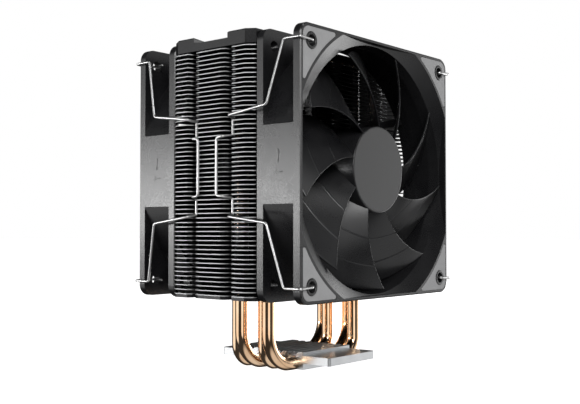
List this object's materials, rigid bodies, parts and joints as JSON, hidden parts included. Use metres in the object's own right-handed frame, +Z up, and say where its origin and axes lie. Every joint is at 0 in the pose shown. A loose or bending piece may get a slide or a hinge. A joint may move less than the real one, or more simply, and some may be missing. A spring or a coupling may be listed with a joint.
{
  "type": "cpu tower cooler",
  "caption": "Tower heatsink for a processor: thin aluminium fins on copper heat pipes over a direct-contact base, with a fan clipped to each side by spring wires.",
  "frame": {"origin": "centre of the base's contact face, at the bottom", "axes": "+Z up through the fin stack, +X across the fans to the right, +Y from the intake fan to the exhaust fan, along the air flow"},
  "size_m": [0.1298, 0.1044, 0.1547],
  "materials": {
    "base_aluminium": "milled, satin",
    "pipe_copper": "polished copper",
    "fin_aluminium": "bright rolled sheet",
    "cover_plastic": "satin black",
    "frame_plastic": "fine-textured black",
    "pad_rubber": "matt light grey",
    "blade_plastic": "satin black",
    "hub_cap_satin": "flat dark grey",
    "label_foil": "plain dark foil, blank",
    "bronze": "sintered bronze",
    "board": "solder mask",
    "core_steel": "laminated sheet",
    "coil_copper": "enamelled copper",
    "ferrite": "bonded ferrite",
    "shaft_steel": "ground",
    "clip_plastic": "natural nylon",
    "wire_steel": "bright spring steel"
  },
  "bodies": {
    "heatsink": {"base_block": "base_aluminium", "heat_pipe_1": "pipe_copper", "heat_pipe_2": "pipe_copper", "heat_pipe_3": "pipe_copper", "heat_pipe_4": "pipe_copper", "cooling_fins": "fin_aluminium", "bottom_plate": "cover_plastic", "top_cover": "cover_plastic", "front_fan_frame": "frame_plastic", "front_fan_intake_pads": "pad_rubber", "front_fan_outlet_pads": "pad_rubber", "front_fan_motor_label": "label_foil", "front_fan_bearing_bush": "bronze", "front_fan_circuit_board": "board", "front_fan_stator_core": "core_steel", "front_fan_stator_coils": "coil_copper", "rear_fan_frame": "frame_plastic", "rear_fan_intake_pads": "pad_rubber", "rear_fan_outlet_pads": "pad_rubber", "rear_fan_motor_label": "label_foil", "rear_fan_bearing_bush": "bronze", "rear_fan_circuit_board": "board", "rear_fan_stator_core": "core_steel", "rear_fan_stator_coils": "coil_copper"},
    "front_fan_rotor": {"front_fan_impeller": "blade_plastic", "front_fan_hub_cap": "hub_cap_satin", "front_fan_rotor_yoke": "core_steel", "front_fan_magnet_ring": "ferrite", "front_fan_rotor_shaft": "shaft_steel", "front_fan_shaft_clip": "clip_plastic"},
    "rear_fan_rotor": {"rear_fan_impeller": "blade_plastic", "rear_fan_hub_cap": "hub_cap_satin", "rear_fan_rotor_yoke": "core_steel", "rear_fan_magnet_ring": "ferrite", "rear_fan_rotor_shaft": "shaft_steel", "rear_fan_shaft_clip": "clip_plastic"},
    "front_left_clip": {"front_left_clip": "wire_steel"},
    "front_right_clip": {"front_right_clip": "wire_steel"},
    "rear_left_clip": {"rear_left_clip": "wire_steel"},
    "rear_right_clip": {"rear_right_clip": "wire_steel"}
  },
  "joints": [
    {"name": "front_fan_spin", "type": "hinge", "parent": "heatsink", "child": "front_fan_rotor", "pos_m": [0, -0.03875, 0.0944], "axis": [0, 1, 0], "continuous": true},
    {"name": "rear_fan_spin", "type": "hinge", "parent": "heatsink", "child": "rear_fan_rotor", "pos_m": [0, 0.03775, 0.0944], "axis": [0, 1, 0], "continuous": true},
    {"name": "front_left_clip_swing", "type": "hinge", "parent": "heatsink", "child": "front_left_clip", "pos_m": [-0.0525, -0.05165, 0.0944], "axis": [0, 0, 1], "range_deg": [0, 18], "stiffness_Nm_per_rad": 0.02, "springref_deg": -5.73},
    {"name": "front_right_clip_swing", "type": "hinge", "parent": "heatsink", "child": "front_right_clip", "pos_m": [0.0525, -0.05165, 0.0944], "axis": [0, 0, -1], "range_deg": [0, 18], "stiffness_Nm_per_rad": 0.02, "springref_deg": -5.73},
    {"name": "rear_left_clip_swing", "type": "hinge", "parent": "heatsink", "child": "rear_left_clip", "pos_m": [-0.0525, 0.05165, 0.0944], "axis": [0, 0, -1], "range_deg": [0, 18], "stiffness_Nm_per_rad": 0.02, "springref_deg": -5.73},
    {"name": "rear_right_clip_swing", "type": "hinge", "parent": "heatsink", "child": "rear_right_clip", "pos_m": [0.0525, 0.05165, 0.0944], "axis": [0, 0, 1], "range_deg": [0, 18], "stiffness_Nm_per_rad": 0.02, "springref_deg": -5.73}
  ]
}
